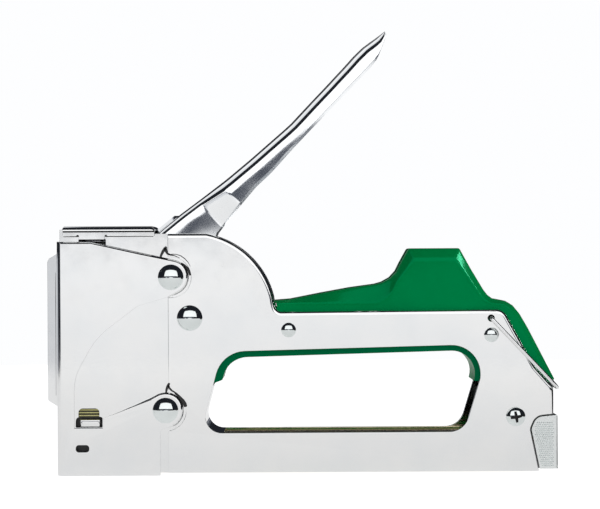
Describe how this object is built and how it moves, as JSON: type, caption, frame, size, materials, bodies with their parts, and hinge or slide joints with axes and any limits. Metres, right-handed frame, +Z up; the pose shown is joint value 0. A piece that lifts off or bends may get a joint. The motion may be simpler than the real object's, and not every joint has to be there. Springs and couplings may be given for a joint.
{
  "type": "staple gun",
  "caption": "Hand staple gun with a squeeze lever on top, a sheet metal body with a finger opening, a moulded grip insert, a rear-loading staple channel and a wire handle lock.",
  "frame": {"origin": "middle of the staple exit: middle of the driver blade's thickness, middle of the body's width, bottom edge of the nose", "axes": "+X to the rear along the staple channel, +Z up, away from the work, +Y to the side away from the screw head"},
  "size_m": [0.201, 0.0292, 0.1731],
  "materials": {
    "plated_sheet": "bright chrome plated steel sheet",
    "satin_sheet": "dull plated steel with pressed dimples",
    "rivet": "polished plated steel",
    "yellow_plate": "yellow zinc plated steel",
    "dark_steel": "oiled steel",
    "bright_steel": "ground steel",
    "spring_wire": "drawn spring wire",
    "wire": "plated wire",
    "bumper_rubber": "moulded rubber",
    "moulding": "glossy moulded plastic"
  },
  "bodies": {
    "body": {"left_shell": "plated_sheet", "right_shell": "plated_sheet", "front_cover": "plated_sheet", "top_cap": "plated_sheet", "grip_insert": "moulding", "opening_wall": "plated_sheet", "upper_rivets": "rivet", "lower_rivet": "rivet", "pivot_rivet": "rivet", "front_grip_rivet": "rivet", "rear_grip_rivet": "rivet", "rear_screw": "rivet", "rear_nut": "rivet", "rear_block": "dark_steel", "blade_guide": "yellow_plate", "bumper": "bumper_rubber", "spring_seat": "dark_steel", "main_spring": "spring_wire", "staple_channel": "yellow_plate", "handle_spring": "spring_wire"},
    "handle": {"handle_lever": "plated_sheet", "lift_pin": "bright_steel"},
    "lifter": {"lift_hook": "dark_steel"},
    "hammer": {"plunger": "dark_steel", "driver_blade": "bright_steel", "blade_pin": "bright_steel"},
    "magazine": {"pusher_rod": "bright_steel", "rod_tip": "bright_steel", "end_block": "dark_steel", "latch_pin": "bright_steel", "pusher_spring": "spring_wire", "latch_spring": "spring_wire"},
    "pusher": {"staple_pusher": "bright_steel"},
    "latch": {"rear_latch": "satin_sheet"},
    "lock": {"handle_lock": "wire"}
  },
  "joints": [
    {"name": "handle_pivot", "type": "hinge", "parent": "body", "child": "handle", "pos_m": [0.05, 0, 0.0615], "axis": [0, 1, 0], "range_deg": [0, 43], "stiffness_Nm_per_rad": 0.6, "springref_deg": -28.65},
    {"name": "lifter_pivot", "type": "hinge", "parent": "handle", "child": "lifter", "pos_m": [0.0274, 0, 0.0533], "axis": [0, 1, 0], "range_deg": [-44, 0]},
    {"name": "hammer_slide", "type": "slide", "parent": "body", "child": "hammer", "axis": [0, 0, 1], "range_m": [0, 0.0177], "deforming": ["main_spring"]},
    {"name": "magazine_slide", "type": "slide", "parent": "body", "child": "magazine", "axis": [1, 0, 0], "range_m": [0, 0.1]},
    {"name": "pusher_slide", "type": "slide", "parent": "magazine", "child": "pusher", "axis": [1, 0, 0], "range_m": [0, 0.095], "stiffness_N_per_m": 30, "springref_m": -0.03, "deforming": ["pusher_spring"]},
    {"name": "latch_hinge", "type": "hinge", "parent": "magazine", "child": "latch", "pos_m": [0.1887, 0, 0.005], "axis": [0, 1, 0], "range_deg": [0, 10], "stiffness_Nm_per_rad": 0.05, "springref_deg": -17.19},
    {"name": "lock_pivot", "type": "hinge", "parent": "body", "child": "lock", "pos_m": [0.1677, 0, 0.0609], "axis": [0, -1, 0], "range_deg": [0, 160]}
  ],
  "couplings": [
    {"joint": "lifter_pivot", "follows": "handle_pivot", "ratio": -1},
    {"joint": "hammer_slide", "follows": "handle_pivot", "m_per_rad": 0.02345}
  ]
}
